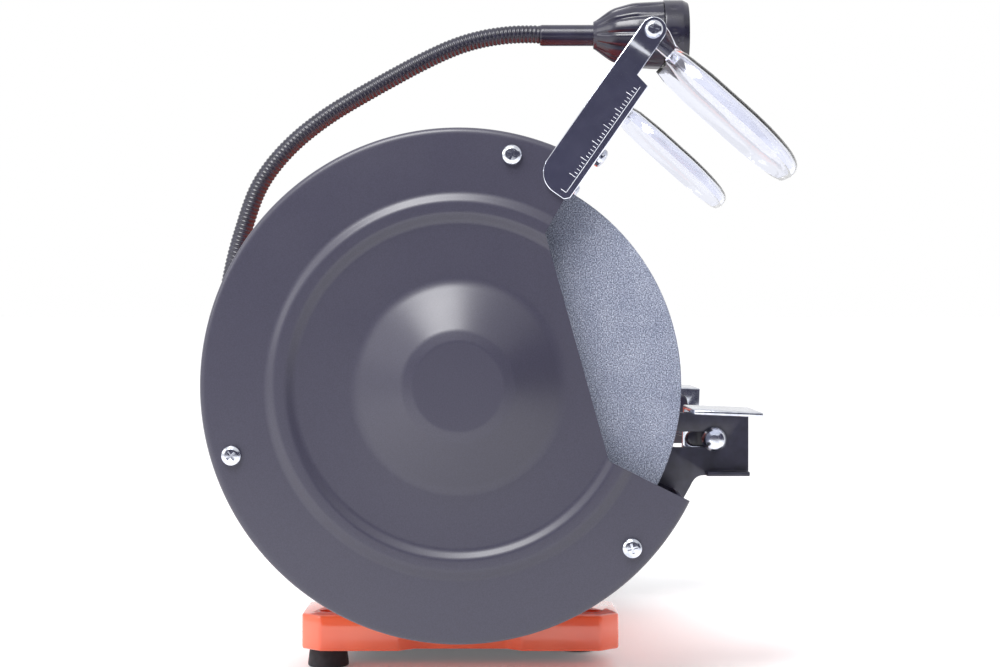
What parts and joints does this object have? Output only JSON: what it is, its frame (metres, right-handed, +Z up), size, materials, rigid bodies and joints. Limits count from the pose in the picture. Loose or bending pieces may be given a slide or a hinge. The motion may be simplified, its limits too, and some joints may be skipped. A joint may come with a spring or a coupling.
{
  "type": "bench grinder",
  "caption": "Double-ended bench grinder with guarded abrasive wheels, tool rests, tilting eye shields and a gooseneck lamp.",
  "frame": {"origin": "centre of the base's underside, below the middle of the motor", "axes": "+X along the motor shaft to the operator's right, -Y towards the operator, +Z up"},
  "size_m": [0.382, 0.2776, 0.3311],
  "materials": {
    "enamel": "gloss",
    "bell_enamel": "gloss",
    "powder_coat": "satin",
    "black_steel": "satin",
    "zinc_plate": "satin",
    "chrome": "polished",
    "abrasive": "rough",
    "steel": "machined",
    "lamination": "matte",
    "copper": "satin",
    "rubber": "matte",
    "black_plastic": "satin",
    "clear_plastic": "gloss",
    "reflector": "polished"
  },
  "bodies": {
    "frame": {"base": "enamel", "base_bottom_plate": "black_steel", "foot_front_left": "rubber", "foot_front_right": "rubber", "foot_rear_left": "rubber", "foot_rear_right": "rubber", "switch_body": "black_plastic", "cord_gland": "rubber", "motor_housing": "enamel", "stator_core": "lamination", "stator_winding": "copper", "lamp_socket": "black_plastic", "end_bell_left": "bell_enamel", "bearing_left": "steel", "guard_body_left": "powder_coat", "guard_cover_left": "powder_coat", "cover_screw_1_left": "zinc_plate", "cover_screw_2_left": "zinc_plate", "cover_screw_3_left": "zinc_plate", "rest_bracket_left": "black_steel", "rest_bolt_left": "zinc_plate", "arm_clamp_screw_left": "zinc_plate", "end_bell_right": "bell_enamel", "bearing_right": "steel", "guard_body_right": "powder_coat", "guard_cover_right": "powder_coat", "cover_screw_1_right": "zinc_plate", "cover_screw_2_right": "zinc_plate", "cover_screw_3_right": "zinc_plate", "rest_bracket_right": "black_steel", "rest_bolt_right": "zinc_plate", "arm_clamp_screw_right": "zinc_plate"},
    "rotor": {"rotor_core": "lamination", "shaft": "steel", "wheel_left": "abrasive", "wheel_flange_outer_left": "steel", "wheel_flange_inner_left": "steel", "shaft_nut_left": "steel", "wheel_right": "abrasive", "wheel_flange_outer_right": "steel", "wheel_flange_inner_right": "steel", "shaft_nut_right": "steel"},
    "tool_rest_left": {"tool_rest_left": "zinc_plate"},
    "rest_knob_left": {"rest_knob_left": "black_plastic"},
    "shield_arm_left": {"shield_arm_left": "chrome", "pivot_screw_left": "zinc_plate"},
    "eye_shield_left": {"eye_shield_left": "clear_plastic"},
    "tool_rest_right": {"tool_rest_right": "zinc_plate"},
    "rest_knob_right": {"rest_knob_right": "black_plastic"},
    "shield_arm_right": {"shield_arm_right": "chrome", "pivot_screw_right": "zinc_plate"},
    "eye_shield_right": {"eye_shield_right": "clear_plastic"},
    "neck_lower": {"gooseneck_lower": "black_plastic"},
    "neck_middle": {"gooseneck_middle": "black_plastic"},
    "lamp": {"gooseneck_upper": "black_plastic", "lamp_head": "black_plastic", "lamp_bezel": "black_plastic", "lamp_lens": "clear_plastic", "lamp_bulb": "reflector"},
    "rocker": {"switch_rocker": "black_plastic"}
  },
  "joints": [
    {"name": "rotor_spin", "type": "hinge", "parent": "frame", "child": "rotor", "pos_m": [0, 0, 0.128], "axis": [1, 0, 0], "continuous": true},
    {"name": "tool_rest_slide_left", "type": "slide", "parent": "frame", "child": "tool_rest_left", "axis": [0, 0.9992, 0.0401], "range_m": [-0.009, 0.0025]},
    {"name": "rest_knob_turn_left", "type": "hinge", "parent": "frame", "child": "rest_knob_left", "pos_m": [-0.149, -0.1183, 0.1014], "axis": [1, 0, 0], "range_deg": [0, 540]},
    {"name": "shield_arm_slide_left", "type": "slide", "parent": "frame", "child": "shield_arm_left", "axis": [0, -0.5736, 0.8192], "range_m": [-0.0015, 0.008]},
    {"name": "eye_shield_tilt_left", "type": "hinge", "parent": "shield_arm_left", "child": "eye_shield_left", "pos_m": [-0.149, -0.08661, 0.2861], "axis": [1, 0, 0], "range_deg": [-50, 20]},
    {"name": "tool_rest_slide_right", "type": "slide", "parent": "frame", "child": "tool_rest_right", "axis": [0, 0.9992, 0.0401], "range_m": [-0.009, 0.0025]},
    {"name": "rest_knob_turn_right", "type": "hinge", "parent": "frame", "child": "rest_knob_right", "pos_m": [0.149, -0.1183, 0.1014], "axis": [1, 0, 0], "range_deg": [0, 540]},
    {"name": "shield_arm_slide_right", "type": "slide", "parent": "frame", "child": "shield_arm_right", "axis": [0, -0.5736, 0.8192], "range_m": [-0.0015, 0.008]},
    {"name": "eye_shield_tilt_right", "type": "hinge", "parent": "shield_arm_right", "child": "eye_shield_right", "pos_m": [0.149, -0.08661, 0.2861], "axis": [1, 0, 0], "range_deg": [-50, 20]},
    {"name": "neck_bend_base", "type": "hinge", "parent": "frame", "child": "neck_lower", "pos_m": [0, 0.09, 0.09], "axis": [1, 0, 0], "range_deg": [-20, 8]},
    {"name": "neck_bend_middle", "type": "hinge", "parent": "neck_lower", "child": "neck_middle", "pos_m": [0, 0.111, 0.2112], "axis": [1, 0, 0], "range_deg": [-25, 12]},
    {"name": "lamp_bend", "type": "hinge", "parent": "neck_middle", "child": "lamp", "pos_m": [0, 0.0536, 0.272], "axis": [1, 0, 0], "range_deg": [-30, 25]},
    {"name": "switch_rock", "type": "hinge", "parent": "frame", "child": "rocker", "pos_m": [0, -0.05, 0.034], "axis": [1, 0, 0], "range_deg": [-18, 0]}
  ]
}
